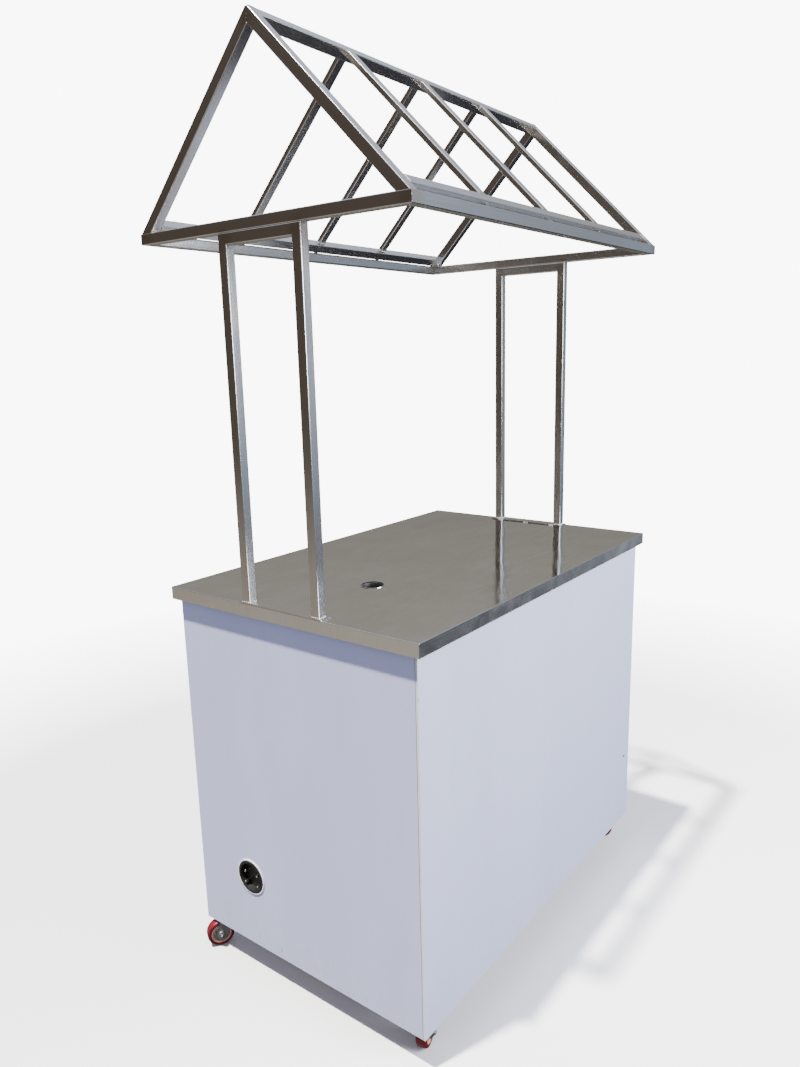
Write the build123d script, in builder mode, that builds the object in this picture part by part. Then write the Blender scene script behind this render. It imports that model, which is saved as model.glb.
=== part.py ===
"""Push vending cart: a laminated cabinet on four swivel casters, a stainless
countertop, two inverted-U post frames and an open gable roof frame.

Frame: +Z up, origin on the floor at the middle of the cart, X along the long
side, -Y the customer's side, +Y the operator's side with the doors.
"""
import os
from math import cos, radians, sin, tan

from build123d import *

os.makedirs("parts", exist_ok=True)

# ---- driving dimensions, millimetres ----
counter_length = 1200.0
counter_width = 780.0
counter_height = 1045.0      # floor to the top of the countertop
counter_sheet = 1.5
lip_height = 32.0
core_thickness = 15.0
overhang_x = 16.0            # countertop beyond the end panels
overhang_y = 17.0            # countertop beyond the front panel

panel_thickness = 6.0
skirt_height = 85.0          # floor to the bottom edge of the panels
board_thickness = 12.0       # floor panel and shelf
shelf_height = 560.0         # floor to the underside of the shelf

tube = 25.0                  # square tube of every frame
tube_wall = 1.5
tube_radius = 2.5

cable_hole_x = -314.0
cable_hole_y = -40.0
cable_hole_radius = 29.0
cable_rim_width = 3.0
cable_rim_height = 1.0

post_spacing = 220.0         # centre to centre of the two posts of a frame
post_offset_y = 5.0          # middle of a post frame behind the cart's middle
post_frame_height = 829.0    # countertop to the top of the top bar
foot_plate_width = 38.0
foot_plate_thickness = 3.0
foot_plate_margin = 8.0

roof_length = 1194.0
roof_width = 786.0
slope_setback = 3.0          # slope plane starts this far inside the rail's edge
slope_angle = 45.0
rafter_width = 25.0
rafter_depth = 13.0
rafter_first = 300.0         # left end of the roof to the first rafter's middle
rafter_pitch = 281.0
rafter_count = 3
purlin_start = 22.0          # along the slope, from its lower edge to the purlin
spacer_width = 8.0

door_thickness = 18.0
door_recess = 10.0           # door's outer face inside the end panels' edge
door_gap = 3.0
door_bottom_gap = 5.0        # above the top of the caster pads
door_back_gap = 0.5
door_top_gap = 4.0           # below the countertop's lip
handle_length = 160.0
handle_radius = 5.0
handle_projection = 26.0
handle_inset = 42.0
handle_height = 720.0
lower_hinge_inset = 137.0    # door's bottom edge to the lower hinge's middle
upper_hinge_inset = 159.0    # door's top edge to the upper hinge's middle
hinge_length = 60.0
hinge_pin_radius = 2.5
hinge_pin_clearance = 0.06
hinge_barrel_radius = 4.5
hinge_leaf = 1.5
hinge_leaf_width = 40.0
hinge_standoff = 5.0         # pin's axis from the door's outer face
hinge_knuckle = 20.0
running_gap = 0.3

inlet_y = 181.0
inlet_height = 284.0
inlet_radius = 45.0
inlet_face = 2.5
inlet_barrel_radius = 42.5
inlet_barrel_clearance = 0.5
inlet_depth = 36.0
inlet_well_radius = 38.0
inlet_well_depth = 14.0
bezel_width = 4.0
bezel_thickness = 2.0
pin_radius = 3.0
pin_below_face = 1.0
pin_spacing_y = 44.0
pin_spacing_z = 30.0
pin_centre_drop = 6.0

caster_inset = 41.0          # swivel axis from the cabinet's outer faces
caster_height = 104.0
caster_plate_size = 60.0
caster_plate_thickness = 3.0
pad_thickness = 4.0
race_radius = 25.0
race_height = 6.0
kingpin_radius = 6.0
kingpin_clearance = 0.05
kingpin_head_radius = 10.0
kingpin_head_height = 3.0
crown_thickness = 4.0
crown_length = 46.0
wheel_radius = 37.5
tread_width = 28.0
tread_round = 6.0
hub_radius = 28.0
hub_rim = 4.0
hub_width = 25.0
hub_web = 8.0
hub_boss_radius = 11.0
caster_trail = 28.0
fork_leg = 2.5
fork_end_radius = 16.0
fork_side_clearance = 2.0
hub_side_clearance = 0.5
axle_radius = 6.0
axle_bore_radius = 4.3
axle_clearance = 0.05
axle_head_radius = 9.0
axle_head_height = 1.8
caster_bolt_radius = 4.0
caster_bolt_spacing = 46.0
caster_bolt_head = 5.5
caster_bolt_flats = 13.0

rivet_radius = 4.5
rivet_shank_radius = 2.0
rivet_head = 1.6
front_rivet_x = 544.0
front_rivet_height = 308.0
end_rivet_heights = (200.0, 560.0, 920.0)

# ---- derived sizes ----
cab_x = counter_length / 2 - overhang_x
cab_y = counter_width / 2 - overhang_y
inner_x = cab_x - panel_thickness
inner_front = -cab_y + panel_thickness
core_bottom = counter_height - counter_sheet - core_thickness
lip_bottom = counter_height - lip_height
frame_rear = cab_y - door_recess - door_thickness - door_back_gap
door_face = cab_y - door_recess
base_bottom = caster_height + pad_thickness
base_top = base_bottom + tube
floor_top = base_top + board_thickness
top_frame_bottom = core_bottom - tube
half = tube / 2
frame_y_mid = (inner_front + frame_rear) / 2
frame_depth = frame_rear - inner_front

rail_bottom = counter_height + post_frame_height
rail_top = rail_bottom + tube
roof_x = roof_length / 2
roof_y = roof_width / 2
slope_y = roof_y - slope_setback
slope_run = slope_y / cos(radians(slope_angle))
ridge_height = rail_top + slope_y * tan(radians(slope_angle))
rafter_stations = [-roof_x + rafter_first + i * rafter_pitch for i in range(rafter_count)]


def save(solid, label):
    """Name a finished piece and write it as its own file."""
    solid.label = label
    export_step(solid, f"parts/{label}.step")
    return solid


def group(pieces, label):
    """Name a set of separate solids that share one node."""
    return save(Compound(label=label, children=list(pieces)), label)


def tube_between(start, end, x_dir, cuts=(), width=tube, depth=tube):
    """Hollow rectangular tube from start to end, trimmed by each cut plane.

    x_dir points along the tube's width. Each cut keeps the side that its
    plane's normal points to.
    """
    run = Vector(end) - Vector(start)
    with BuildPart() as member:
        with BuildSketch(Plane(origin=start, x_dir=x_dir, z_dir=run.normalized())):
            RectangleRounded(width, depth, tube_radius)
            RectangleRounded(
                width - 2 * tube_wall, depth - 2 * tube_wall, tube_radius - tube_wall,
                mode=Mode.SUBTRACT,
            )
        extrude(amount=run.length)
        for cut in cuts:
            split(bisect_by=cut, keep=Keep.TOP)
    return member.part


def mitred_ring(x_half, y_low, y_high, z_mid, inner_bars=()):
    """Four mitred tubes round a rectangle, with bars across it at given x."""
    tubes = []
    xc = x_half - half
    low, high = y_low + half, y_high - half
    corners = [(-xc, low), (xc, low), (xc, high), (-xc, high)]
    for i, (x0, y0) in enumerate(corners):
        x1, y1 = corners[(i + 1) % 4]
        run = Vector(x1 - x0, y1 - y0, 0).normalized()
        side = Vector(-run.Y, run.X, 0)
        reach = run * tube
        start = Vector(x0, y0, z_mid) - reach
        end = Vector(x1, y1, z_mid) + reach
        cuts = (
            Plane(origin=(x0, y0, z_mid), z_dir=run - side),
            Plane(origin=(x1, y1, z_mid), z_dir=-run - side),
        )
        tubes.append(tube_between(start, end, (0, 0, 1), cuts))
    for x in inner_bars:
        tubes.append(
            tube_between((x, y_low + tube, z_mid), (x, y_high - tube, z_mid), (1, 0, 0))
        )
    return tubes


# ---- countertop: a folded stainless tray over a board ----
with BuildPart() as countertop:
    with BuildSketch(Plane.XY.offset(lip_bottom)):
        Rectangle(counter_length, counter_width)
    extrude(amount=lip_height)
    fillet(countertop.edges().filter_by(Axis.Z), radius=2.0)
    fillet(countertop.faces().sort_by(Axis.Z)[-1].edges(), radius=1.2)
    with BuildSketch(Plane.XY.offset(lip_bottom)):
        Rectangle(counter_length - 2 * counter_sheet, counter_width - 2 * counter_sheet)
    extrude(amount=lip_height - counter_sheet, mode=Mode.SUBTRACT)
    with BuildSketch(Plane.XY.offset(counter_height - counter_sheet)):
        with Locations((cable_hole_x, cable_hole_y)):
            Circle(cable_hole_radius + cable_rim_width)
    extrude(amount=counter_sheet + cable_rim_height)
    with BuildSketch(Plane.XY.offset(lip_bottom)):
        with Locations((cable_hole_x, cable_hole_y)):
            Circle(cable_hole_radius)
    extrude(amount=lip_height + cable_rim_height, mode=Mode.SUBTRACT)
save(countertop.part, "countertop")

with BuildPart() as counter_core:
    with BuildSketch(Plane.XY.offset(core_bottom)):
        Rectangle(counter_length - 2 * counter_sheet, counter_width - 2 * counter_sheet)
        with Locations((cable_hole_x, cable_hole_y)):
            Circle(cable_hole_radius, mode=Mode.SUBTRACT)
    extrude(amount=core_thickness)
save(counter_core.part, "counter_core")

# ---- cabinet panels ----
panel_height = core_bottom - skirt_height

with BuildPart() as front_panel:
    with BuildSketch(Plane.XY.offset(skirt_height)):
        with Locations((0, -cab_y + panel_thickness / 2)):
            Rectangle(2 * cab_x, panel_thickness)
    extrude(amount=panel_height)
    with Locations(Plane(origin=(front_rivet_x, -cab_y, front_rivet_height), z_dir=(0, -1, 0))):
        Hole(rivet_shank_radius)
save(front_panel.part, "front_panel")

for side, name in ((-1, "left"), (1, "right")):
    outer = Plane(origin=(side * cab_x, 0, 0), x_dir=(0, side, 0), z_dir=(side, 0, 0))
    with BuildPart() as end_panel:
        with BuildSketch(Plane.XY.offset(skirt_height)):
            with Locations((side * (cab_x - panel_thickness / 2), (inner_front + cab_y) / 2)):
                Rectangle(panel_thickness, cab_y - inner_front)
        extrude(amount=panel_height)
        if side < 0:
            with BuildSketch(outer):
                with Locations((-inlet_y, inlet_height)):
                    Circle(inlet_barrel_radius + inlet_barrel_clearance)
            extrude(amount=-panel_thickness, mode=Mode.SUBTRACT)
        else:
            with BuildSketch(outer):
                for height in end_rivet_heights:
                    with Locations((inner_front + half, height)):
                        Circle(rivet_shank_radius)
            extrude(amount=-panel_thickness, mode=Mode.SUBTRACT)
    save(end_panel.part, f"end_panel_{name}")


def rivet(place):
    """Dome-headed rivet standing on a panel's outer face."""
    with BuildPart() as fastener:
        with BuildSketch(place):
            Circle(rivet_radius)
        extrude(amount=rivet_head)
        rim = fastener.edges().group_by(Axis(place.origin, place.z_dir))[-1]
        fillet(rim, radius=rivet_head * 0.6)
        with BuildSketch(place):
            Circle(rivet_shank_radius)
        extrude(amount=-panel_thickness)
    return fastener.part


rivet_places = [Plane(origin=(front_rivet_x, -cab_y, front_rivet_height), z_dir=(0, -1, 0))]
rivet_places += [
    Plane(origin=(cab_x, inner_front + half, height), z_dir=(1, 0, 0))
    for height in end_rivet_heights
]
group([rivet(place) for place in rivet_places], "panel_rivets")

# ---- cabinet frame, floor and shelf ----
pad_centres = [
    (sx * (cab_x - caster_inset), sy * (cab_y - caster_inset)) for sy in (-1, 1) for sx in (-1, 1)
]
bolt_offset = caster_bolt_spacing / 2


def caster_pad(x, y):
    """Drilled plate that a caster bolts to, under a corner of the base."""
    with BuildPart() as pad:
        with BuildSketch(Plane.XY.offset(caster_height)):
            with Locations((x, y)):
                Rectangle(caster_plate_size, caster_plate_size)
                with GridLocations(caster_bolt_spacing, caster_bolt_spacing, 2, 2):
                    Circle(caster_bolt_radius, mode=Mode.SUBTRACT)
        extrude(amount=pad_thickness)
    return pad.part


base_tubes = mitred_ring(inner_x, inner_front, frame_rear, base_bottom + half, (0.0,))
group(base_tubes + [caster_pad(x, y) for x, y in pad_centres], "base_frame")
group(mitred_ring(inner_x, inner_front, frame_rear, top_frame_bottom + half, (0.0,)), "top_frame")

upright_x = inner_x - half
upright_ys = (inner_front + half, frame_rear - half)
uprights = [
    tube_between((sx * upright_x, y, base_top), (sx * upright_x, y, top_frame_bottom), (1, 0, 0))
    for sx in (-1, 1) for y in upright_ys
]
shelf_rails = [
    tube_between(
        (sx * upright_x, inner_front + tube, shelf_height - half),
        (sx * upright_x, frame_rear - tube, shelf_height - half), (1, 0, 0),
    )
    for sx in (-1, 1)
]
group(uprights + shelf_rails, "uprights")

for bottom, label in ((base_top, "floor_panel"), (shelf_height, "shelf")):
    notch = tube + 1.0
    with BuildPart() as board:
        with BuildSketch(Plane.XY.offset(bottom)):
            with Locations((0, frame_y_mid)):
                Rectangle(2 * inner_x, frame_depth)
                with GridLocations(2 * inner_x - notch, frame_depth - notch, 2, 2):
                    Rectangle(notch, notch, mode=Mode.SUBTRACT)
        extrude(amount=board_thickness)
    save(board.part, label)

# ---- power inlet in the left end panel ----
inlet_plane = Plane(origin=(-cab_x, inlet_y, inlet_height), x_dir=(0, -1, 0), z_dir=(-1, 0, 0))

with BuildPart() as inlet_body:
    with BuildSketch(inlet_plane):
        Circle(inlet_radius)
    extrude(amount=inlet_face)
    fillet(inlet_body.edges().group_by(Axis.X)[0], radius=1.0)
    with BuildSketch(inlet_plane):
        Circle(inlet_barrel_radius)
    extrude(amount=-inlet_depth)
    with BuildSketch(inlet_plane.offset(inlet_face)):
        Circle(inlet_well_radius)
    extrude(amount=-inlet_well_depth - inlet_face, mode=Mode.SUBTRACT)
save(inlet_body.part, "inlet_body")

with BuildPart() as inlet_bezel:
    with BuildSketch(inlet_plane):
        Circle(inlet_radius + bezel_width)
        Circle(inlet_radius, mode=Mode.SUBTRACT)
    extrude(amount=bezel_thickness)
    fillet(inlet_bezel.edges().group_by(Axis.X)[0], radius=0.8)
save(inlet_bezel.part, "inlet_bezel")

pins = []
for px in (-pin_spacing_y / 2, pin_spacing_y / 2):
    for pz in (-pin_spacing_z / 2, pin_spacing_z / 2):
        with BuildPart() as inlet_pin:
            with BuildSketch(inlet_plane.offset(-inlet_well_depth)):
                with Locations((px, pz - pin_centre_drop)):
                    Circle(pin_radius)
            extrude(amount=inlet_well_depth + inlet_face - pin_below_face)
            fillet(inlet_pin.edges().group_by(Axis.X)[0], radius=1.2)
        pins.append(inlet_pin.part)
group(pins, "inlet_pins")

# ---- post frames ----
frame_x = roof_x - half
foot_top = counter_height + foot_plate_thickness
post_top = counter_height + post_frame_height
plate_length = post_spacing + tube + 2 * foot_plate_margin

foot_plates = []
for side in (-1, 1):
    with BuildPart() as foot_plate:
        with BuildSketch(Plane.XY.offset(counter_height)):
            with Locations((side * (counter_length / 2 - foot_plate_width / 2), post_offset_y)):
                RectangleRounded(foot_plate_width, plate_length, 2.0)
        extrude(amount=foot_plate_thickness)
    foot_plates.append(foot_plate.part)
group(foot_plates, "foot_plates")

for side, name in ((-1, "left"), (1, "right")):
    x = side * frame_x
    for end, row in ((-1, "front"), (1, "rear")):
        y = post_offset_y + end * post_spacing / 2
        mitre = Plane(origin=(x, y, post_top - half), z_dir=(0, end, -1))
        post = tube_between((x, y, foot_top), (x, y, post_top), (1, 0, 0), (mitre,))
        save(post, f"post_{name}_{row}")
    low, high = post_offset_y - post_spacing / 2, post_offset_y + post_spacing / 2
    bar_z = post_top - half
    bar_cuts = (
        Plane(origin=(x, low, bar_z), z_dir=(0, 1, 1)),
        Plane(origin=(x, high, bar_z), z_dir=(0, -1, 1)),
    )
    bar = tube_between((x, low - half, bar_z), (x, high + half, bar_z), (1, 0, 0), bar_cuts)
    save(bar, f"top_bar_{name}")

# ---- roof: base rails ----
rail_names = ("roof_rail_front", "roof_rail_right", "roof_rail_rear", "roof_rail_left")
rails = mitred_ring(roof_x, -roof_y, roof_y, rail_bottom + half)
for rail, label in zip(rails, rail_names):
    save(rail, label)


def slope_point(x, side, along, under):
    """Point on a roof slope: distance up from its lower edge, depth below it."""
    angle = radians(slope_angle)
    y = -slope_y + along * cos(angle) + under * sin(angle)
    z = rail_top + along * sin(angle) - under * cos(angle)
    return (x, -side * y, z)


# ---- roof: gable rafters, ridge, purlins, rafters ----
gable_x = roof_x - half
for side, row in ((-1, "front"), (1, "rear")):
    for end, name in ((-1, "left"), (1, "right")):
        x = end * gable_x
        start = slope_point(x, side, -2 * tube, half)
        finish = slope_point(x, side, slope_run + 2 * tube, half)
        cuts = (
            Plane(origin=(x, 0, rail_top), z_dir=(0, 0, 1)),
            Plane(origin=(x, 0, ridge_height), z_dir=(0, side, 0)),
        )
        save(tube_between(start, finish, (1, 0, 0), cuts), f"gable_rafter_{name}_{row}")

inner_end = roof_x - tube
ridge_z = ridge_height - half / cos(radians(slope_angle))
ridge = tube_between((-inner_end, 0, ridge_z), (inner_end, 0, ridge_z), (0, 1, 1))
save(ridge, "ridge_beam")

spacers = []
for side, row in ((-1, "front"), (1, "rear")):
    middle = purlin_start + half
    purlin = tube_between(
        slope_point(-inner_end, side, middle, half), slope_point(inner_end, side, middle, half),
        (0, 1, 1),
    )
    save(purlin, f"purlin_{row}")
    for number, x in enumerate(rafter_stations, start=1):
        low = purlin_start + tube
        high = slope_run - tube
        rafter = tube_between(
            slope_point(x, side, low, rafter_depth / 2),
            slope_point(x, side, high, rafter_depth / 2),
            (1, 0, 0), width=rafter_width, depth=rafter_depth,
        )
        save(rafter, f"rafter_{row}_{number}")
        seat = side * (roof_y - tube / 2)
        with BuildPart() as spacer:
            with BuildSketch(Plane(origin=(x - spacer_width / 2, 0, 0), x_dir=(0, 1, 0), z_dir=(1, 0, 0))):
                with BuildLine():
                    near = slope_point(x, side, purlin_start, 0.35 * tube)
                    far = slope_point(x, side, purlin_start, 0.6 * tube)
                    Polyline(
                        (seat, rail_top), (side * (roof_y - tube + tube_radius), rail_top),
                        (far[1], far[2]), (near[1], near[2]), close=True,
                    )
                make_face()
            extrude(amount=spacer_width)
        spacers.append(spacer.part)
group(spacers, "purlin_spacers")

# ---- rear doors, handles and hinges ----
door_low = base_bottom + door_bottom_gap
door_high = lip_bottom - door_top_gap
door_outer_x = inner_x - door_gap
hinge_x = inner_x - hinge_standoff
hinge_y = door_face + hinge_standoff
hinge_heights = (door_low + lower_hinge_inset, door_high - upper_hinge_inset)
fixed_leaves = []

for side, name in ((-1, "left"), (1, "right")):
    with BuildPart() as door:
        with BuildSketch(Plane.XY.offset(door_low)):
            with Locations((side * (door_outer_x + door_gap / 2) / 2, door_face - door_thickness / 2)):
                Rectangle(door_outer_x - door_gap / 2, door_thickness)
        extrude(amount=door_high - door_low)
        fillet(door.edges().filter_by(Axis.Z), radius=1.0)
    save(door.part, f"door_{name}")

    grip_x = side * handle_inset
    bar_y = door_face + handle_projection - handle_radius
    z0, z1 = handle_height - handle_length / 2, handle_height + handle_length / 2
    with BuildPart() as handle:
        with BuildLine() as route:
            FilletPolyline(
                (grip_x, door_face, z0), (grip_x, bar_y, z0),
                (grip_x, bar_y, z1), (grip_x, door_face, z1), radius=2 * handle_radius,
            )
        with BuildSketch(Plane(origin=(grip_x, door_face, z0), z_dir=(0, 1, 0))):
            Circle(handle_radius)
        sweep()
    save(handle.part, f"door_handle_{name}")

    moving_leaves = []
    for height in hinge_heights:
        bottom = height - hinge_length / 2
        knuckle_low = height - hinge_knuckle / 2
        centre = (side * hinge_x, hinge_y)
        with BuildPart() as door_leaf:
            leaf_end = hinge_x - hinge_barrel_radius - running_gap
            with BuildSketch(Plane.XY.offset(bottom)):
                with Locations((side * (leaf_end - hinge_leaf_width / 2), door_face + hinge_leaf / 2)):
                    Rectangle(hinge_leaf_width, hinge_leaf)
            extrude(amount=hinge_length)
            with BuildSketch(Plane.XY.offset(knuckle_low)):
                with Locations((side * (leaf_end + hinge_x) / 2, door_face + hinge_leaf / 2)):
                    Rectangle(hinge_x - leaf_end, hinge_leaf)
                with Locations(centre):
                    Circle(hinge_barrel_radius)
                    Circle(hinge_pin_radius + hinge_pin_clearance, mode=Mode.SUBTRACT)
            extrude(amount=hinge_knuckle)
        moving_leaves.append(door_leaf.part)

        plate_end = door_face - 0.5
        with BuildPart() as frame_leaf:
            with BuildSketch(Plane.XY.offset(bottom)):
                with Locations((side * (inner_x - hinge_leaf / 2), (frame_rear + plate_end) / 2)):
                    Rectangle(hinge_leaf, plate_end - frame_rear)
            extrude(amount=hinge_length)
            side_knuckle = (hinge_length - hinge_knuckle) / 2 - running_gap
            for start_z in (bottom, knuckle_low + hinge_knuckle + running_gap):
                with BuildSketch(Plane.XY.offset(start_z)):
                    with Locations((side * (inner_x - hinge_leaf / 2), (plate_end + hinge_y) / 2)):
                        Rectangle(hinge_leaf, hinge_y - plate_end)
                    with Locations(centre):
                        Circle(hinge_barrel_radius)
                extrude(amount=side_knuckle)
            with BuildSketch(Plane.XY.offset(bottom)):
                with Locations(centre):
                    Circle(hinge_pin_radius)
            extrude(amount=hinge_length)
        fixed_leaves.append(frame_leaf.part)
    group(moving_leaves, f"hinge_leaves_{name}")
group(fixed_leaves, "hinge_frame_leaves")

# ---- casters ----
race_bottom = caster_height - caster_plate_thickness - race_height
crown_top = race_bottom - running_gap
crown_bottom = crown_top - crown_thickness
pin_head_top = crown_bottom - running_gap
fork_inner = tread_width / 2 + fork_side_clearance
axle_half = fork_inner + fork_leg + axle_head_height
casters = (
    ("front_left", pad_centres[0], 17.0),
    ("front_right", pad_centres[1], 112.0),
    ("rear_left", pad_centres[2], 149.0),
    ("rear_right", pad_centres[3], 31.0),
)
plates = []
bolts = []

for name, (cx, cy), heading in casters:
    with BuildPart() as caster_plate:
        with BuildSketch(Plane.XY.offset(caster_height - caster_plate_thickness)):
            with Locations((cx, cy)):
                RectangleRounded(caster_plate_size, caster_plate_size, 6.0)
                with GridLocations(caster_bolt_spacing, caster_bolt_spacing, 2, 2):
                    Circle(caster_bolt_radius, mode=Mode.SUBTRACT)
        extrude(amount=caster_plate_thickness)
        with BuildSketch(Plane.XY.offset(race_bottom)):
            with Locations((cx, cy)):
                Circle(race_radius)
        extrude(amount=race_height)
        with BuildSketch(Plane.XY.offset(pin_head_top - kingpin_head_height)):
            with Locations((cx, cy)):
                Circle(kingpin_head_radius)
        extrude(amount=kingpin_head_height)
        with BuildSketch(Plane.XY.offset(pin_head_top)):
            with Locations((cx, cy)):
                Circle(kingpin_radius)
        extrude(amount=race_bottom - pin_head_top)
    plates.append(caster_plate.part)

    for dx in (-bolt_offset, bolt_offset):
        for dy in (-bolt_offset, bolt_offset):
            head_top = caster_height - caster_plate_thickness
            with BuildPart() as bolt:
                with BuildSketch(Plane.XY.offset(head_top - caster_bolt_head)):
                    with Locations((cx + dx, cy + dy)):
                        RegularPolygon(caster_bolt_flats / 2, 6, major_radius=False)
                extrude(amount=caster_bolt_head)
                with BuildSketch(Plane.XY.offset(head_top)):
                    with Locations((cx + dx, cy + dy)):
                        Circle(caster_bolt_radius)
                extrude(amount=caster_plate_thickness + pad_thickness)
            bolts.append(bolt.part)

    way = Vector(cos(radians(heading)), sin(radians(heading)), 0)
    across = Vector(way.Y, -way.X, 0)
    wheel_plane = Plane(origin=(cx, cy, 0), x_dir=way, z_dir=across)
    hub_centre = (caster_trail, wheel_radius)

    with BuildPart() as fork:
        for offset in (fork_inner, -fork_inner - fork_leg):
            with BuildSketch(wheel_plane.offset(offset)):
                with Locations((0, crown_top - crown_thickness / 2)):
                    Rectangle(crown_length, crown_thickness)
                with Locations(hub_centre):
                    Circle(fork_end_radius)
                make_hull()
                with Locations(hub_centre):
                    Circle(axle_radius, mode=Mode.SUBTRACT)
            extrude(amount=fork_leg)
        with BuildSketch(Plane(origin=(cx, cy, crown_bottom), x_dir=way, z_dir=(0, 0, 1))):
            Rectangle(crown_length, 2 * (fork_inner + fork_leg))
            Circle(kingpin_radius + kingpin_clearance, mode=Mode.SUBTRACT)
        extrude(amount=crown_thickness)
    with BuildPart() as axle:
        with BuildSketch(wheel_plane.offset(-axle_half)):
            with Locations(hub_centre):
                Circle(axle_radius)
        extrude(amount=2 * axle_half)
        for offset in (-axle_half, fork_inner + fork_leg):
            with BuildSketch(wheel_plane.offset(offset)):
                with Locations(hub_centre):
                    Circle(axle_head_radius)
            extrude(amount=axle_head_height)
        with BuildSketch(wheel_plane.offset(-axle_half)):
            with Locations(hub_centre):
                Circle(axle_bore_radius)
        extrude(amount=2 * axle_half, mode=Mode.SUBTRACT)
    group([fork.part, axle.part], f"caster_fork_{name}")

    boss = fork_inner - hub_side_clearance
    with BuildPart() as hub:
        for radius, width in ((hub_boss_radius, 2 * boss), (hub_radius, hub_web)):
            with BuildSketch(wheel_plane.offset(-width / 2)):
                with Locations(hub_centre):
                    Circle(radius)
            extrude(amount=width)
        with BuildSketch(wheel_plane.offset(-hub_width / 2)):
            with Locations(hub_centre):
                Circle(hub_radius)
                Circle(hub_radius - hub_rim, mode=Mode.SUBTRACT)
        extrude(amount=hub_width)
        with BuildSketch(wheel_plane.offset(-boss)):
            with Locations(hub_centre):
                Circle(axle_radius + axle_clearance)
        extrude(amount=2 * boss, mode=Mode.SUBTRACT)
    save(hub.part, f"caster_wheel_{name}")

    with BuildPart() as tread:
        with BuildSketch(wheel_plane.offset(-tread_width / 2)):
            with Locations(hub_centre):
                Circle(wheel_radius)
        extrude(amount=tread_width)
        fillet(tread.edges(), radius=tread_round)
        with BuildSketch(wheel_plane.offset(-tread_width / 2)):
            with Locations(hub_centre):
                Circle(hub_radius)
        extrude(amount=tread_width, mode=Mode.SUBTRACT)
    save(tread.part, f"caster_tread_{name}")

group(plates, "caster_plates")
group(bolts, "caster_bolts")

print("ridge height", round(ridge_height, 1), "cabinet", 2 * cab_x, "x", 2 * cab_y)
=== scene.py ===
import math
import random

import bmesh
import bpy
from mathutils import Matrix, Vector


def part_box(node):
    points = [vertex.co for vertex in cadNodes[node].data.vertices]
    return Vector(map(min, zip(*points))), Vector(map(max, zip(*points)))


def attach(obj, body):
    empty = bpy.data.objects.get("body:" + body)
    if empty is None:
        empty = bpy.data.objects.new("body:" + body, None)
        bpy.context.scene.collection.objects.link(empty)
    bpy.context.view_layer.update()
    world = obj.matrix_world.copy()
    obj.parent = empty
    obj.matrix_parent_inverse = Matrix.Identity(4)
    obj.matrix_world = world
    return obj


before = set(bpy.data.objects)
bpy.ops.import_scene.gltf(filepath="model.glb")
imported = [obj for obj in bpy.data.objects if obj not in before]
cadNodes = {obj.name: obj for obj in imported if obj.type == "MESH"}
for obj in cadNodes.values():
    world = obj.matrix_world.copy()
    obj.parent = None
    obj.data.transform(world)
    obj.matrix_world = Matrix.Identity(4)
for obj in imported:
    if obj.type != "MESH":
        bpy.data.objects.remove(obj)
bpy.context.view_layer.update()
random.seed(11)
print("cart loaded:", len(cadNodes), "pieces")


# short ways to build a material's nodes

def startMaterial(name):
    material = bpy.data.materials.new(name)
    material.use_nodes = True
    tree = material.node_tree
    shader = tree.nodes["Principled BSDF"]
    place = tree.nodes.new("ShaderNodeTexCoord").outputs["Object"]
    return material, tree, shader, place


def mapped(tree, place, scale=(1, 1, 1), turn=(0, 0, 0), shift=(0, 0, 0)):
    node = tree.nodes.new("ShaderNodeMapping")
    node.inputs["Scale"].default_value = scale
    node.inputs["Rotation"].default_value = turn
    node.inputs["Location"].default_value = shift
    tree.links.new(place, node.inputs["Vector"])
    return node.outputs["Vector"]


def noise(tree, place, scale, detail=3.0, roughness=0.55, distortion=0.0):
    node = tree.nodes.new("ShaderNodeTexNoise")
    node.inputs["Scale"].default_value = scale
    node.inputs["Detail"].default_value = detail
    node.inputs["Roughness"].default_value = roughness
    node.inputs["Distortion"].default_value = distortion
    tree.links.new(place, node.inputs["Vector"])
    return node.outputs["Fac"]


def spread(tree, value, fromLow, fromHigh, toLow=0.0, toHigh=1.0):
    node = tree.nodes.new("ShaderNodeMapRange")
    node.inputs["From Min"].default_value = fromLow
    node.inputs["From Max"].default_value = fromHigh
    node.inputs["To Min"].default_value = toLow
    node.inputs["To Max"].default_value = toHigh
    tree.links.new(value, node.inputs["Value"])
    return node.outputs["Result"]


def work(tree, kind, a, b=None):
    node = tree.nodes.new("ShaderNodeMath")
    node.operation = kind
    for socket, value in zip(node.inputs, (a, b)):
        if value is None:
            continue
        if isinstance(value, (int, float)):
            socket.default_value = value
        else:
            tree.links.new(value, socket)
    return node.outputs["Value"]


def blendColour(tree, amount, first, second):
    node = tree.nodes.new("ShaderNodeMix")
    node.data_type = "RGBA"
    tree.links.new(amount, node.inputs["Factor"])
    for socket, value in ((node.inputs["A"], first), (node.inputs["B"], second)):
        if isinstance(value, tuple):
            socket.default_value = (*value, 1.0)
        else:
            tree.links.new(value, socket)
    return node.outputs["Result"]


def relief(tree, shader, height, strength, distance):
    node = tree.nodes.new("ShaderNodeBump")
    node.inputs["Strength"].default_value = strength
    node.inputs["Distance"].default_value = distance
    tree.links.new(height, node.inputs["Height"])
    tree.links.new(node.outputs["Normal"], shader.inputs["Normal"])


def distanceTo(tree, place, spot, mirrored=True):
    vector = place
    if mirrored:
        fold = tree.nodes.new("ShaderNodeVectorMath")
        fold.operation = "ABSOLUTE"
        tree.links.new(place, fold.inputs[0])
        vector = fold.outputs["Vector"]
    measure = tree.nodes.new("ShaderNodeVectorMath")
    measure.operation = "DISTANCE"
    tree.links.new(vector, measure.inputs[0])
    measure.inputs[1].default_value = spot
    return measure.outputs["Value"]


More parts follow.
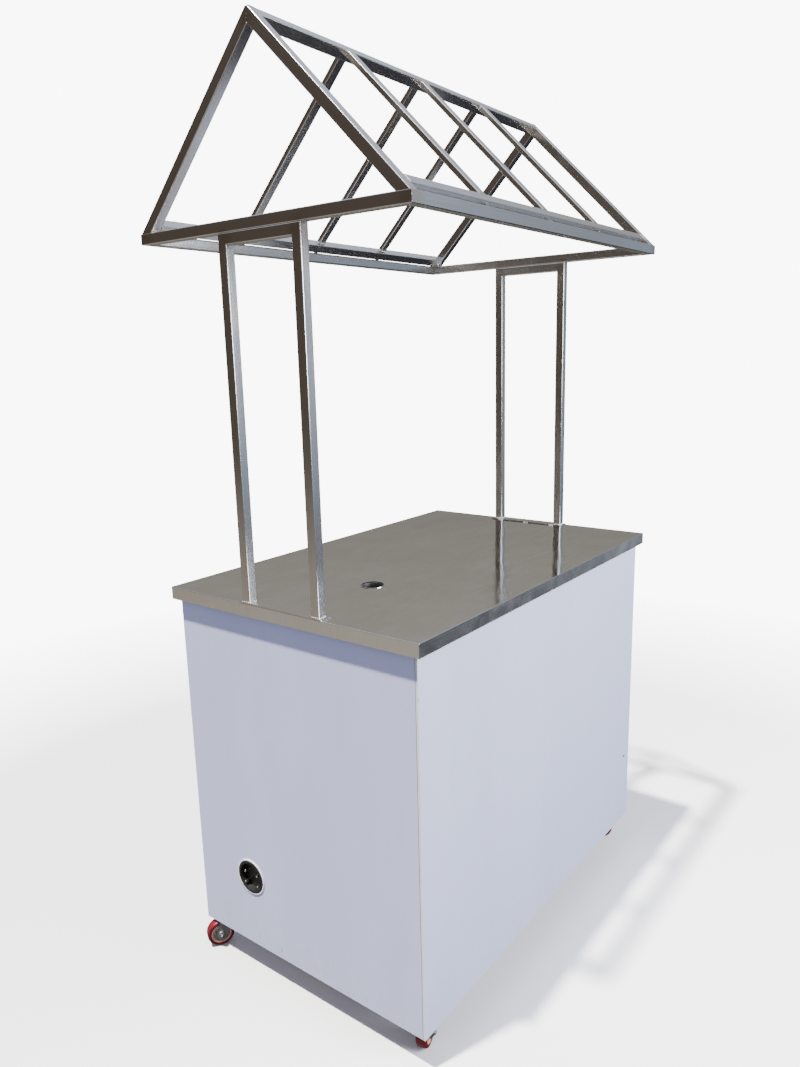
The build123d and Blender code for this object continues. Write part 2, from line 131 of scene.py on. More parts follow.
def axisOf(tree, place, axis):
    node = tree.nodes.new("ShaderNodeSeparateXYZ")
    tree.links.new(place, node.inputs["Vector"])
    return node.outputs[axis]


# satin stainless tube: fine grain along the tube, a faint straw tint where it is welded
tubeSteel = {
    "paleTone": (0.66, 0.66, 0.67),
    "warmTone": (0.55, 0.52, 0.49),
    "tintTone": (0.34, 0.23, 0.14),
    "roughness": (0.15, 0.25),
    "grainDensity": 520.0,
    "grainStretch": 0.008,
    "tintReach": 0.034,
    "tintAmount": 0.30,
    "grainDepth": 0.035,
    "streakDensity": 70.0,
    "streakAlong": 1.8,
    "toneRange": (0.36, 0.64),
    "tintCore": 0.015,
}


def makeTubeSteel(name, along, turn=(0, 0, 0), welds=()):
    material, tree, shader, place = startMaterial(name)
    turned = mapped(tree, place, (1, 1, 1), turn)
    fineScale, broadScale = [tubeSteel["grainDensity"]] * 3, [tubeSteel["streakDensity"]] * 3
    fineScale["xyz".index(along)] *= tubeSteel["grainStretch"]
    broadScale["xyz".index(along)] = tubeSteel["streakAlong"]
    grain = noise(tree, mapped(tree, turned, tuple(fineScale)), 1.0, 2.0, 0.6)
    streaks = noise(tree, mapped(tree, turned, tuple(broadScale)), 1.0, 3.0)
    handling = noise(tree, place, 6.0, 4.0, 0.6, 0.4)
    tone = work(tree, "ADD", work(tree, "MULTIPLY", streaks, 0.5), work(tree, "MULTIPLY", handling, 0.5))
    warmth = spread(tree, tone, *tubeSteel["toneRange"])
    colour = blendColour(tree, warmth, tubeSteel["paleTone"], tubeSteel["warmTone"])
    rough = spread(tree, tone, 0.3, 0.7, *tubeSteel["roughness"])
    for spot in welds:
        wobble = work(tree, "MULTIPLY", work(tree, "SUBTRACT", noise(tree, place, 60.0), 0.5), 0.02)
        far = work(tree, "ADD", distanceTo(tree, place, spot), wobble)
        tint = spread(tree, far, tubeSteel["tintReach"], tubeSteel["tintCore"])
        amount = work(tree, "MULTIPLY", tint, tubeSteel["tintAmount"])
        colour = blendColour(tree, amount, colour, tubeSteel["tintTone"])
    tree.links.new(colour, shader.inputs["Base Color"])
    fine = work(tree, "MULTIPLY", work(tree, "SUBTRACT", grain, 0.5), 0.06)
    tree.links.new(work(tree, "ADD", rough, fine), shader.inputs["Roughness"])
    shader.inputs["Metallic"].default_value = 1.0
    relief(tree, shader, grain, tubeSteel["grainDepth"], 0.0003)
    return material


# polished countertop: a mirror finish with faint polishing lines and a slight waviness
topSteel = {
    "tone": (0.70, 0.70, 0.70),
    "filmTone": (0.60, 0.59, 0.56),
    "lipTone": (0.78, 0.77, 0.74),
    "roughness": (0.07, 0.17),
    "lipRoughness": 0.24,
    "waviness": 0.35,
}


def makeTopSteel(name, topHeight):
    material, tree, shader, place = startMaterial(name)
    height = axisOf(tree, place, "Z")
    onLip = spread(tree, height, topHeight - 0.0006, topHeight - 0.0016)
    lines = noise(tree, mapped(tree, place, (5.0, 900.0, 900.0)), 1.0, 2.0)
    broad = noise(tree, mapped(tree, place, (1.6, 3.0, 3.0)), 1.0, 3.0, 0.5, 0.6)
    smear = noise(tree, mapped(tree, place, (9.0, 26.0, 9.0)), 1.0, 5.0, 0.65, 1.2)
    film = spread(tree, work(tree, "MULTIPLY", broad, smear), 0.18, 0.36)
    colour = blendColour(tree, film, topSteel["tone"], topSteel["filmTone"])
    colour = blendColour(tree, onLip, colour, topSteel["lipTone"])
    tree.links.new(colour, shader.inputs["Base Color"])
    rough = spread(tree, film, 0.0, 1.0, *topSteel["roughness"])
    scratches = work(tree, "MULTIPLY", work(tree, "SUBTRACT", lines, 0.5), 0.08)
    lipRough = work(tree, "MULTIPLY", onLip, topSteel["lipRoughness"] - topSteel["roughness"][0])
    rough = work(tree, "ADD", work(tree, "ADD", rough, scratches), lipRough)
    tree.links.new(rough, shader.inputs["Roughness"])
    shader.inputs["Metallic"].default_value = 1.0
    swell = noise(tree, mapped(tree, place, (2.4, 2.4, 2.4)), 1.0, 2.0)
    heights = work(tree, "ADD", work(tree, "MULTIPLY", swell, 6.0), work(tree, "MULTIPLY", lines, 0.02))
    relief(tree, shader, heights, topSteel["waviness"], 0.002)
    return material


# laminated cabinet panels: pale lavender white with a light edge and a little dust low down; the end panels carry
# painted shade as a darker tone than the front
laminate = {
    "faceTone": (0.72, 0.76, 0.99),
    # painted shade: the end panels are the same laminate as the front, coloured darker
    "shadedEndTone": (0.665, 0.71, 0.96),
    "edgeTone": (0.86, 0.86, 0.88),
    "dustTone": (0.55, 0.52, 0.50),
    "scuffTone": (0.24, 0.23, 0.25),
    "roughness": (0.22, 0.36),
    "coat": 0.25,
    "coatRoughness": 0.12,
    "dustHeight": 0.13,
    "dustAmount": 0.45,
    "scuffAmount": 0.7,
}


def makeLaminate(name, tone, edgeAxis, edgeAt, bottom, scuffs=()):
    material, tree, shader, place = startMaterial(name)
    smear = noise(tree, mapped(tree, place, (5.0, 5.0, 1.3)), 1.0, 4.0, 0.6, 0.5)
    fine = noise(tree, place, 420.0, 2.0)
    deeper = tuple(value * 0.93 for value in tone)
    colour = blendColour(tree, spread(tree, smear, 0.35, 0.7), tone, deeper)
    outward = work(tree, "ABSOLUTE", axisOf(tree, place, edgeAxis))
    edge = spread(tree, outward, edgeAt - 0.0002, edgeAt - 0.00005)
    colour = blendColour(tree, edge, colour, laminate["edgeTone"])
    low = spread(tree, axisOf(tree, place, "Z"), bottom + laminate["dustHeight"], bottom)
    specks = spread(tree, noise(tree, place, 38.0, 6.0, 0.7), 0.5, 0.68)
    dust = work(tree, "MULTIPLY", work(tree, "MULTIPLY", low, specks), laminate["dustAmount"])
    colour = blendColour(tree, dust, colour, laminate["dustTone"])
    for spot, reach in scuffs:
        squashed = mapped(tree, place, (1, 1, 0.45))
        far = distanceTo(tree, squashed, (spot[0], spot[1], spot[2] * 0.45), False)
        ragged = work(tree, "MULTIPLY", noise(tree, place, 240.0, 3.0), reach * 1.4)
        mark = spread(tree, work(tree, "ADD", far, ragged), reach * 1.5, reach * 0.9)
        mark = work(tree, "MULTIPLY", mark, laminate["scuffAmount"])
        colour = blendColour(tree, mark, colour, laminate["scuffTone"])
    tree.links.new(colour, shader.inputs["Base Color"])
    rough = work(tree, "ADD", spread(tree, smear, 0.3, 0.7, *laminate["roughness"]), dust)
    tree.links.new(rough, shader.inputs["Roughness"])
    shader.inputs["Coat Weight"].default_value = laminate["coat"]
    shader.inputs["Coat Roughness"].default_value = laminate["coatRoughness"]
    relief(tree, shader, fine, 0.08, 0.0003)
    return material


# small parts: each finish is a base tone, a second tone, grain size and how rough it is
smallFinishes = {
    # black nylon for the inlet body; the same black is painted shade as the lining inside the cable hole
    "blackNylonAndHoleShade": {
        "tones": ((0.004, 0.004, 0.005), (0.010, 0.010, 0.011)), "grain": 700.0,
        "metal": 0.0, "roughness": (0.45, 0.6), "depth": 0.2,
    },
    "whiteRing": {
        "tones": ((0.95, 0.95, 0.95), (0.86, 0.86, 0.86)), "grain": 240.0,
        "metal": 0.0, "roughness": (0.25, 0.4), "depth": 0.06,
    },
    "nickelPin": {
        "tones": ((0.78, 0.75, 0.70), (0.60, 0.57, 0.52)), "grain": 300.0,
        "metal": 1.0, "roughness": (0.16, 0.3), "depth": 0.06,
    },
    "zincPlate": {
        "tones": ((0.56, 0.57, 0.58), (0.40, 0.40, 0.41)), "grain": 160.0,
        "metal": 1.0, "roughness": (0.28, 0.5), "depth": 0.15,
    },
    "hubNylon": {
        "tones": ((0.86, 0.62, 0.44), (0.74, 0.48, 0.32)), "grain": 120.0,
        "metal": 0.0, "roughness": (0.35, 0.55), "depth": 0.10,
    },
    "redTread": {
        "tones": ((0.20, 0.004, 0.010), (0.11, 0.006, 0.010)), "grain": 260.0,
        "metal": 0.0, "roughness": (0.30, 0.5), "depth": 0.2,
    },
    "brightWire": {
        "tones": ((0.72, 0.72, 0.73), (0.60, 0.60, 0.60)), "grain": 400.0,
        "metal": 1.0, "roughness": (0.14, 0.28), "depth": 0.05,
    },
    "weldMetal": {
        "tones": ((0.74, 0.73, 0.72), (0.48, 0.44, 0.40)), "grain": 500.0,
        "metal": 1.0, "roughness": (0.22, 0.40), "depth": 0.10,
    },
    # painted shade: near black, for the strip standing in for the shaded gap between panels
    "gapShade": {
        "tones": ((0.045, 0.045, 0.05), (0.09, 0.09, 0.095)), "grain": 400.0,
        "metal": 0.0, "roughness": (0.45, 0.65), "depth": 0.15,
    },
}


def makeSmallFinish(name):
    finish = smallFinishes[name]
    material, tree, shader, place = startMaterial(name)
    patches = noise(tree, place, finish["grain"] * 0.12, 4.0, 0.6, 0.3)
    fine = noise(tree, place, finish["grain"], 3.0, 0.6)
    mixed = work(tree, "ADD", work(tree, "MULTIPLY", patches, 0.7), work(tree, "MULTIPLY", fine, 0.3))
    amount = spread(tree, mixed, 0.35, 0.65)
    tree.links.new(blendColour(tree, amount, *finish["tones"]), shader.inputs["Base Color"])
    tree.links.new(spread(tree, amount, 0.0, 1.0, *finish["roughness"]), shader.inputs["Roughness"])
    shader.inputs["Metallic"].default_value = finish["metal"]
    relief(tree, shader, fine, finish["depth"], 0.0004)
    return material


# inner boards: pale melamine over a flecked core
boardLook = {
    "tone": (0.60, 0.50, 0.38), "fleckTone": (0.40, 0.30, 0.20), "fleckDensity": 190.0,
    "roughness": 0.72,
}


def makeBoard(name):
    material, tree, shader, place = startMaterial(name)
    flecks = tree.nodes.new("ShaderNodeTexVoronoi")
    flecks.inputs["Scale"].default_value = boardLook["fleckDensity"]
    tree.links.new(mapped(tree, place, (1.0, 0.45, 1.0)), flecks.inputs["Vector"])
    mottled = noise(tree, place, 16.0, 5.0, 0.6)
    amount = work(tree, "MULTIPLY", flecks.outputs["Distance"], mottled)
    colour = blendColour(tree, spread(tree, amount, 0.12, 0.4), boardLook["tone"], boardLook["fleckTone"])
    tree.links.new(colour, shader.inputs["Base Color"])
    shader.inputs["Roughness"].default_value = boardLook["roughness"]
    relief(tree, shader, flecks.outputs["Distance"], 0.12, 0.0005)
    return material


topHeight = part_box("counter_core")[1][2] + 0.0015
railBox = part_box("roof_rail_left")
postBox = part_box("post_right_front")
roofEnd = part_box("roof_rail_right")[1][0]
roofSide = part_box("roof_rail_rear")[1][1]
railTop = railBox[1][2]
half = (railTop - railBox[0][2]) / 2
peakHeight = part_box("gable_rafter_left_front")[1][2]
cornerWeld = (roofEnd - half, roofSide - half, railTop - half)
peakWeld = (roofEnd - half, 0.0, peakHeight - 1.6 * half)
postHead = (roofEnd - half, abs(postBox[0][1] + postBox[1][1]) / 2 + 0.004, postBox[1][2] - half)
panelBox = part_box("front_panel")
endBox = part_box("end_panel_left")
quarter = math.radians(45)
frontScuff = ((-0.583, -0.373, 0.914), 0.003)
endScuff = ((-0.584, 0.082, 0.110), 0.004)
noEdge = 9.0  # beyond the cart, so a door gets no pale edge

finishes = {
    "tubeX": makeTubeSteel("tubeSteelLengthwise", "x", welds=(cornerWeld, peakWeld)),
    "tubeY": makeTubeSteel("tubeSteelCrosswise", "y", welds=(cornerWeld, postHead)),
    "tubeZ": makeTubeSteel("tubeSteelUpright", "z", welds=(postHead,)),
    "slopeFront": makeTubeSteel("tubeSteelFrontSlope", "y", (-quarter, 0, 0), (cornerWeld, peakWeld)),
    "slopeRear": makeTubeSteel("tubeSteelRearSlope", "y", (quarter, 0, 0), (cornerWeld, peakWeld)),
    "top": makeTopSteel("polishedTop", topHeight),
    "front": makeLaminate("laminateFront", laminate["faceTone"], "X", panelBox[1][0], panelBox[0][2], (frontScuff,)),
    # the end panels' material holds painted shade in its darker tone
    "end": makeLaminate("laminateEndPaintedShade", laminate["shadedEndTone"], "Y", endBox[1][1], endBox[0][2], (endScuff,)),
    "door": makeLaminate("laminateDoor", laminate["faceTone"], "X", noEdge, panelBox[0][2]),
    "board": makeBoard("coreBoard"),
    **{name: makeSmallFinish(name) for name in smallFinishes},
}

nodeFinishes = (
    ("countertop", "top"), ("foot_plates", "tubeX"),
    ("post_", "tubeZ"), ("top_bar", "tubeY"),
    ("roof_rail_front", "tubeX"), ("roof_rail_rear", "tubeX"), ("roof_rail", "tubeY"),
    ("ridge_beam", "tubeX"), ("purlin_spacers", "weldMetal"), ("purlin", "tubeX"),
    ("rafter_front", "slopeFront"), ("rafter_rear", "slopeRear"),
    ("gable_rafter_left_front", "slopeFront"), ("gable_rafter_right_front", "slopeFront"),
    ("gable_rafter", "slopeRear"),
    ("base_frame", "tubeY"), ("top_frame", "tubeX"), ("uprights", "tubeZ"),
    ("front_panel", "front"), ("end_panel", "end"),
    ("door_handle", "brightWire"), ("door_left", "door"), ("door_right", "door"),
    ("hinge", "brightWire"), ("panel_rivets", "brightWire"),
    ("counter_core", "board"), ("floor_panel", "board"), ("shelf", "board"),
    ("inlet_body", "blackNylonAndHoleShade"), ("inlet_bezel", "whiteRing"), ("inlet_pins", "nickelPin"),
    ("caster_fork", "zincPlate"), ("caster_plates", "zincPlate"), ("caster_bolts", "zincPlate"),
    ("caster_wheel", "hubNylon"), ("caster_tread", "redTread"),
)


def dressNode(name, thing):
    for start, finish in nodeFinishes:
        if name.startswith(start):
            thing.data.materials.clear()
            thing.data.materials.append(finishes[finish])
            return
    raise ValueError("no finish for " + name)


for name, thing in cadNodes.items():
    dressNode(name, thing)
print("finishes set")


def keepPiece(name, bm, finish, body):
    bmesh.ops.recalc_face_normals(bm, faces=bm.faces)
    mesh = bpy.data.meshes.new(name)
    bm.to_mesh(mesh)
    bm.free()
    mesh.shade_smooth()
    piece = bpy.data.objects.new(name, mesh)
    bpy.context.collection.objects.link(piece)
    mesh.materials.append(finishes[finish])
    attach(piece, body)


def addTo(bm, part):
    mesh = bpy.data.meshes.new("part")
    part.to_mesh(mesh)
    part.free()
    bm.from_mesh(mesh)
    bpy.data.meshes.remove(mesh)


# weld beads: a row of overlapping drops, as a welder leaves them
bead = {"radius": 0.0016, "pitch": 0.0021, "uneven": 0.28, "flatten": 0.75}


def layBead(bm, start, end, size=1.0):
    start, end = Vector(start), Vector(end)
    run = end - start
    steps = max(2, round(run.length / (bead["pitch"] * size)))
    turn = run.to_track_quat("Z", "Y").to_matrix().to_4x4()
    row = bmesh.new()
    for step in range(steps):
        spot = start + run * ((step + 0.5) / steps)
        drop = bead["radius"] * size * (1 + bead["uneven"] * (random.random() - 0.5))
        spot += Vector((random.random() - 0.5, random.random() - 0.5, random.random() - 0.5)) * drop * 0.35
        shape = Matrix.Translation(spot) @ turn @ Matrix.Diagonal((drop, drop, drop * bead["flatten"], 1))
        bmesh.ops.create_uvsphere(row, u_segments=8, v_segments=5, radius=1.0, matrix=shape)
    addTo(bm, row)


def addPostWelds():
    bm = bmesh.new()
    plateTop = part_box("foot_plates")[1][2]
    for name in ("post_left_front", "post_left_rear", "post_right_front", "post_right_rear"):
        low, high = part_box(name)
        z = plateTop + 0.0004
        inset = 0.0025
        for y in (low[1], high[1]):
            layBead(bm, (low[0] + inset, y, z), (high[0] - inset, y, z))
        for x in (low[0], high[0]):
            layBead(bm, (x, low[1] + inset, z), (x, high[1] - inset, z))
    keepPiece("postWelds", bm, "weldMetal", "cart")

    bm = bmesh.new()
    low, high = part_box("foot_plates")
    z = (low[2] + high[2]) / 2 - 0.0006
    for side, spots in ((low[0], (0.054, 0.014, -0.044)), (high[0], (0.061, -0.006, -0.052))):
        x = side - math.copysign(0.0021, side)
        for y in spots:
            layBead(bm, (x, y - 0.010, z), (x, y + 0.010, z), 1.25)
    inner = abs(low[0]) - 0.038
    for side in (-1, 1):
        for y in (-0.09, 0.005, 0.10):
            x, z = side * inner, low[2] + 0.001
            layBead(bm, (x, y - 0.008, z), (x, y + 0.008, z), 1.1)
    keepPiece("footTacks", bm, "weldMetal", "cart")


def addRoofWelds():
    bm = bmesh.new()
    low, high = railBox[0][2], railBox[1][2]
    proud = 0.0009
    for sx in (-1, 1):
        for sy in (-1, 1):
            x, y = sx * (roofEnd - proud), sy * (roofSide - proud)
            layBead(bm, (x, y, low + 0.002), (x, y, high - 0.002), 0.6)
            inner = 2 * half
            start = (sx * (roofEnd - 0.003), sy * (roofSide - 0.003))
            stop = (sx * (roofEnd - inner), sy * (roofSide - inner))
            for z in (low + 0.0007, high - 0.0007):
                layBead(bm, (*start, z), (*stop, z), 0.55)
    # gable rafters on the rails, and where each pair meets at the peak
    for sx in (-1, 1):
        for sy in (-1, 1):
            foot = roofSide - 0.003
            for x in (sx * (roofEnd - 0.002), sx * (roofEnd - 2 * half + 0.002)):
                layBead(bm, (x, sy * (foot - 0.003), high), (x, sy * (foot - 0.033), high), 0.7)
            toe = sy * (foot - 0.0354)
            layBead(bm, (sx * (roofEnd - 0.004), toe, high), (sx * (roofEnd - 2 * half + 0.004), toe, high), 0.8)
        outer = sx * (roofEnd - proud)
        layBead(bm, (outer, 0.0, peakHeight - 0.0035), (outer, 0.0, peakHeight - 0.0350), 0.6)
    keepPiece("roofCornerWelds", bm, "weldMetal", "cart")

    bm = bmesh.new()
    for name in cadNodes:
        if not name.startswith("rafter_"):
            continue
        low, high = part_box(name)
        side = -1 if "front" in name else 1
        under = Vector((0, -side, -1)).normalized()
        ridgeEdge = Vector((0, side * min(abs(low[1]), abs(high[1])), high[2]))
        eaveEdge = Vector((0, side * max(abs(low[1]), abs(high[1])), low[2]))
        depth = 0.013
        topCorner = Vector((0, ridgeEdge.y + side * depth * math.cos(quarter), high[2]))
        footCorner = Vector((0, eaveEdge.y, eaveEdge.z + depth * math.cos(quarter)))
        for corner in (topCorner, footCorner):
            for x in (low[0], high[0]):
                a = corner + under * 0.0015
                b = corner + under * (depth - 0.0015)
                layBead(bm, (x, a.y, a.z), (x, b.y, b.z), 0.75)
            lower = corner + under * depth
            layBead(bm, (low[0] + 0.003, lower.y, lower.z), (high[0] - 0.003, lower.y, lower.z), 0.75)
    keepPiece("rafterWelds", bm, "weldMetal", "cart")

    bm = bmesh.new()
    for row in ("front", "rear"):
        low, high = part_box("purlin_" + row)
        side = -1 if row == "front" else 1
        middle = Vector((0, (low[1] + high[1]) / 2, (low[2] + high[2]) / 2))
        reach = half - 0.002
        across = Vector((0, side, 1)).normalized() * half
        along = Vector((0, -side, 1)).normalized()
        for x in (low[0] + 0.0004, high[0] - 0.0004):
            for turn in (-1, 1):
                a = middle + across * turn * 0.98 - along * reach
                b = middle + across * turn * 0.98 + along * reach
                layBead(bm, (x, a.y, a.z), (x, b.y, b.z), 0.7)
    keepPiece("purlinWelds", bm, "weldMetal", "cart")


addPostWelds()
addRoofWelds()
print("weld beads laid")


# caster trim: an axle nut and washer on each side, and a bearing cover in each hub
casterTrim = {
    "washerRadius": 0.0100, "washerStart": 0.0203, "washerThickness": 0.0012,
    "boltRadius": 0.0042, "nutFlats": 0.012, "nutHeight": 0.0042, "nutTurn": 0.3,
    "studRadius": 0.0032, "studHeight": 0.0016,
    "coverInner": 0.0118, "coverOuter": 0.0215, "coverFace": 0.0046,
    "headings": {"front_left": 17.0, "front_right": 112.0, "rear_left": 149.0, "rear_right": 31.0},
}


def casterPlace(name):
    low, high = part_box("caster_wheel_" + name)
    middle = (Vector(low) + Vector(high)) / 2
    heading = math.radians(casterTrim["headings"][name])
    across = Vector((math.sin(heading), -math.cos(heading), 0))
    forward = Vector((math.cos(heading), math.sin(heading), 0))
    return Matrix((
        (forward.x, 0, across.x, middle.x),
        (forward.y, 0, across.y, middle.y),
        (0, 1, 0, middle.z),
        (0, 0, 0, 1),
    ))


def spinProfile(bm, points, steps=40):
    # a closed outline of (radius, height) turned about the axle
    ring = [bm.verts.new((radius, 0.0, height)) for radius, height in points]
    edges = [bm.edges.new((ring[i], ring[(i + 1) % len(ring)])) for i in range(len(ring))]
    bmesh.ops.spin(
        bm, geom=ring + edges, cent=(0, 0, 0), axis=(0, 0, 1),
        angle=math.tau, steps=steps, use_merge=True, use_duplicate=False,
    )
    bmesh.ops.remove_doubles(bm, verts=bm.verts, dist=1e-6)


def addCasterTrim(name):
    place = casterPlace(name)
    trim = casterTrim
    bm = bmesh.new()
    for side in (-1, 1):
        base = side * trim["washerStart"]
        outer = side * (trim["washerStart"] + trim["washerThickness"])
        part = bmesh.new()
        bore, rim = trim["boltRadius"], trim["washerRadius"]
        spinProfile(part, (
            (bore, base), (rim, base), (rim, outer - side * 0.0003),
            (rim - 0.0004, outer), (bore, outer),
        ))
        turn = Matrix.Translation((0, 0, outer + side * trim["nutHeight"] / 2))
        turn = turn @ Matrix.Rotation(trim["nutTurn"] * side, 4, "Z")
        nutRadius = trim["nutFlats"] / math.sqrt(3)
        nut = bmesh.ops.create_cone(
            part, cap_ends=True, cap_tris=False, segments=6,
            radius1=nutRadius, radius2=nutRadius, depth=trim["nutHeight"], matrix=turn,
        )
        rims = {edge for vert in nut["verts"] for edge in vert.link_edges}
        bmesh.ops.bevel(part, geom=list(rims), offset=0.0006, affect="EDGES", segments=2, profile=0.5, material=-1)
        tip = Matrix.Translation((0, 0, outer + side * (trim["nutHeight"] + trim["studHeight"] / 2)))
        stud = bmesh.ops.create_cone(
            part, cap_ends=True, cap_tris=False, segments=20,
            radius1=trim["studRadius"], radius2=trim["studRadius"], depth=trim["studHeight"], matrix=tip,
        )
        rims = {edge for vert in stud["verts"] for edge in vert.link_edges if edge.calc_length() < 0.0012}
        bmesh.ops.bevel(part, geom=list(rims), offset=0.0004, affect="EDGES", segments=2, profile=0.5, material=-1)
        addTo(bm, part)
    bmesh.ops.transform(bm, matrix=place, verts=bm.verts)
    keepPiece("axleNuts_" + name, bm, "zincPlate", "swivel_" + name)

    bm = bmesh.new()
    face = trim["coverFace"]
    for side in (-1, 1):
        inner, outer = trim["coverInner"], trim["coverOuter"]
        profile = (
            (inner, side * (face - 0.0004)), (inner, side * (face + 0.0010)),
            (inner + 0.0012, side * (face + 0.0016)), (outer - 0.0012, side * (face + 0.0010)),
            (outer, side * (face + 0.0002)), (outer, side * (face - 0.0004)),
        )
        spinProfile(bm, profile)
    bmesh.ops.transform(bm, matrix=place, verts=bm.verts)
    keepPiece("bearingCovers_" + name, bm, "zincPlate", "wheel_" + name)


for name in casterTrim["headings"]:
    addCasterTrim(name)
print("caster trim added")


# a thin dark strip between the front panel and each end panel: painted shade standing for the shaded gap between
# them
seam = {"width": 0.0011, "proud": 0.00025}


def addSeams():
    bm = bmesh.new()
    frontBox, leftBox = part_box("front_panel"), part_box("end_panel_left")
    y = frontBox[1][1]
    low, high = frontBox[0][2] + 0.0004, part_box("countertop")[0][2] + 0.006
    for side in (-1, 1):
        x = side * (frontBox[1][0] + seam["proud"] - 0.0008)
        size = Matrix.Diagonal((0.0016, seam["width"], high - low, 1))
        block = bmesh.ops.create_cube(bm, size=1.0, matrix=Matrix.Translation((x, y, (low + high) / 2)) @ size)
        edges = {edge for vert in block["verts"] for edge in vert.link_edges}
        bmesh.ops.bevel(bm, geom=list(edges), offset=0.0002, affect="EDGES", segments=2, profile=0.5, material=-1)
    keepPiece("panelSeams", bm, "gapShade", "cart")


addSeams()
print("panel seams added")


# a black lining inside the cable hole below its bright rim: painted shade for the dark inside of the hole
holeShade = {
    "place": (-0.314, -0.040), "radius": 0.0289, "wall": 0.0016,
    "depth": 0.034, "topDrop": 0.0022, "lip": 0.0008,
}


def addHoleShade():
    bm = bmesh.new()
    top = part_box("countertop")[1][2] - holeShade["topDrop"]
    outer, inner, low = holeShade["radius"], holeShade["radius"] - holeShade["wall"], top - holeShade["depth"]
    lip = holeShade["lip"]
    spinProfile(bm, (
        (outer, top - lip), (outer - lip, top), (inner + lip, top),
        (inner, top - lip), (inner, low), (outer, low),
    ), 64)
    bmesh.ops.translate(bm, verts=bm.verts, vec=(*holeShade["place"], 0))
    # painted shade: the black lining darkens the inside of the cable hole
    keepPiece("cableHoleShade", bm, "blackNylonAndHoleShade", "cart")


addHoleShade()
print("cable sleeve added")


# floor, light and camera
studio = {
    "floorTone": (0.95, 0.95, 0.96), "floorReach": (1.8, 3.4),
    "keyPower": 11.5, "keySpread": 2.5,
    "softPower": 6.0, "fillPower": 320.0,
    "skyLight": (0.74, 0.76, 1.0), "skyStrength": 0.48, "backdropStrength": 9.0,
}


def addFloor():
    bm = bmesh.new()
    bmesh.ops.create_grid(bm, x_segments=1, y_segments=1, size=6.0)
    mesh = bpy.data.meshes.new("studioFloor")
    bm.to_mesh(mesh)
    bm.free()
    floor = bpy.data.objects.new("studioFloor", mesh)
    bpy.context.collection.objects.link(floor)
    floor.visible_glossy = False  # shiny faces mirror the gradient below instead
    floor.visible_diffuse = False  # and the floor throws no light back up the panels
    material, tree, shader, place = startMaterial("paleFloor")
    shader.inputs["Base Color"].default_value = (*studio["floorTone"], 1)
    shader.inputs["Roughness"].default_value = 0.9
    shader.inputs["Specular IOR Level"].default_value = 0.1
    clear = tree.nodes.new("ShaderNodeBsdfTransparent")
    mix = tree.nodes.new("ShaderNodeMixShader")
    fade = spread(tree, distanceTo(tree, place, (0, 0, 0), False), *studio["floorReach"])
    tree.links.new(fade, mix.inputs[0])
    tree.links.new(shader.outputs[0], mix.inputs[1])
    tree.links.new(clear.outputs[0], mix.inputs[2])
    tree.links.new(mix.outputs[0], tree.nodes["Material Output"].inputs["Surface"])
    mesh.materials.append(material)


def addLight(name, kind, power, place, target, size=1.0, colour=(1, 1, 1)):
    lamp = bpy.data.lights.new(name, kind)
    lamp.energy = power
    lamp.color = colour
    if kind == "AREA":
        lamp.shape = "SQUARE"
        lamp.size = size
    else:
        lamp.angle = math.radians(size)
    holder = bpy.data.objects.new(name, lamp)
    bpy.context.collection.objects.link(holder)
    holder.location = place
    aim = Vector(target) - Vector(place)
    holder.rotation_euler = aim.to_track_quat("-Z", "Y").to_euler()


# what shiny faces mirror, while the even sky light and the lamps light the cart:
# bright low on the left, dark low in front and at the back, pale overhead
surroundings = {
    "leftGround": (0.50, 0.46, 0.40), "frontGround": (0.045, 0.045, 0.055),
    "leftSky": (0.10, 0.08, 0.06), "frontSky": (0.34, 0.40, 0.50),
    "backDark": (0.17, 0.17, 0.14), "backPale": (0.52, 0.49, 0.45),
    "zenith": (0.95, 1.05, 1.25),
    "leftToFront": (-0.5, 0.6), "backToRight": (0.75, 1.15),
    "groundLine": (-0.30, -0.12), "backRise": (0.05, 0.45), "zenithRise": (0.42, 0.72),
}


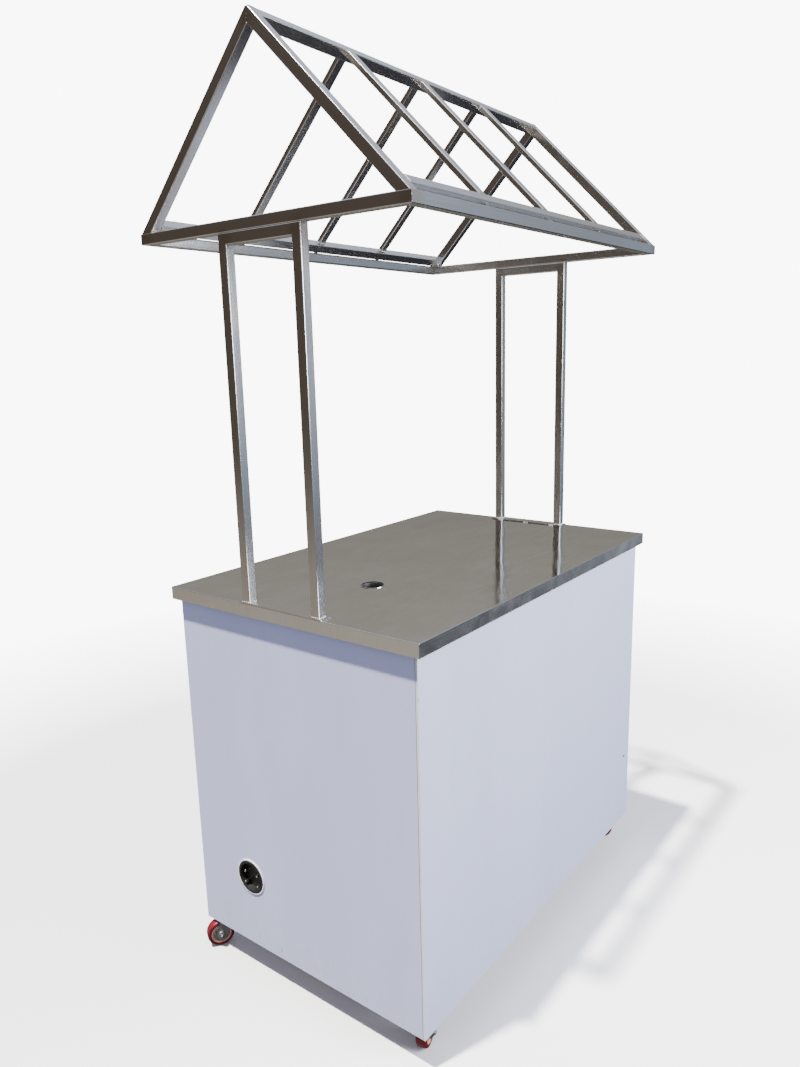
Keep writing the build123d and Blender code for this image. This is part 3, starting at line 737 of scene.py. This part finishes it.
def addWorld():
    world = bpy.data.worlds.new("studioWorld")
    bpy.context.scene.world = world
    world.use_nodes = True
    tree = world.node_tree
    tree.nodes.clear()
    place = tree.nodes.new("ShaderNodeTexCoord").outputs["Generated"]
    toRight, toBack, up = (axisOf(tree, place, axis) for axis in "XYZ")
    tones = surroundings
    leftToFront = spread(tree, work(tree, "SUBTRACT", toRight, toBack), *tones["leftToFront"])
    low = blendColour(tree, leftToFront, tones["leftGround"], tones["frontGround"])
    high = blendColour(tree, leftToFront, tones["leftSky"], tones["frontSky"])
    back = blendColour(tree, spread(tree, up, *tones["backRise"]), tones["backDark"], tones["backPale"])
    toBackRight = spread(tree, work(tree, "ADD", toRight, toBack), *tones["backToRight"])
    high = blendColour(tree, toBackRight, high, back)
    around = blendColour(tree, spread(tree, up, *tones["groundLine"]), low, high)
    sky = spread(tree, up, *tones["zenithRise"])
    around = blendColour(tree, sky, around, tones["zenith"])

    def backgroundOf(colour, strength):
        node = tree.nodes.new("ShaderNodeBackground")
        node.inputs["Strength"].default_value = strength
        if isinstance(colour, tuple):
            node.inputs["Color"].default_value = (*colour, 1)
        else:
            tree.links.new(colour, node.inputs["Color"])
        return node.outputs[0]

    def choose(amount, first, second):
        node = tree.nodes.new("ShaderNodeMixShader")
        tree.links.new(amount, node.inputs[0])
        tree.links.new(first, node.inputs[1])
        tree.links.new(second, node.inputs[2])
        return node.outputs[0]

    path = tree.nodes.new("ShaderNodeLightPath")
    soft = backgroundOf(studio["skyLight"], studio["skyStrength"])
    mirrored = choose(path.outputs["Is Glossy Ray"], soft, backgroundOf(around, 1.0))
    backdrop = backgroundOf((1, 1, 1), studio["backdropStrength"])
    seen = choose(path.outputs["Is Camera Ray"], mirrored, backdrop)
    output = tree.nodes.new("ShaderNodeOutputWorld")
    tree.links.new(seen, output.inputs["Surface"])


addFloor()
addWorld()
middle = (0, 0, 0.9)
addLight(
    "overheadKey", "SUN", studio["keyPower"], (-1.35, 0.55, 5.0), (0, 0, 0),
    studio["keySpread"], (1.0, 0.96, 0.90),
)
addLight("softLeft", "AREA", studio["softPower"], (-3.2, -1.2, 3.0), middle, 2.2, (0.97, 0.98, 1.0))
addLight("softFront", "AREA", studio["fillPower"], (0.6, -3.6, 2.4), middle, 2.4, (0.92, 0.95, 1.0))

camera = {
    "place": (-1.857757, -1.310316, 1.612809),
    "yaw": 52.632, "pitch": -12.342, "roll": -1.468, "lens": 37.08675,
}


def addCamera():
    data = bpy.data.cameras.new("cartCamera")
    data.sensor_fit = "HORIZONTAL"
    data.sensor_width = 36.0
    data.lens = camera["lens"]
    data.clip_start = 0.05
    data.clip_end = 60
    holder = bpy.data.objects.new("cartCamera", data)
    bpy.context.collection.objects.link(holder)
    yaw, pitch, roll = (math.radians(camera[key]) for key in ("yaw", "pitch", "roll"))
    ahead = Vector((math.sin(yaw) * math.cos(pitch), math.cos(yaw) * math.cos(pitch), math.sin(pitch)))
    right = Vector((math.cos(yaw), -math.sin(yaw), 0))
    up = right.cross(ahead)
    side = right * math.cos(roll) + up * math.sin(roll)
    top = up * math.cos(roll) - right * math.sin(roll)
    turn = Matrix((side, top, -ahead)).transposed().to_4x4()
    holder.matrix_world = Matrix.Translation(camera["place"]) @ turn
    bpy.context.scene.camera = holder


addCamera()
print("studio ready")
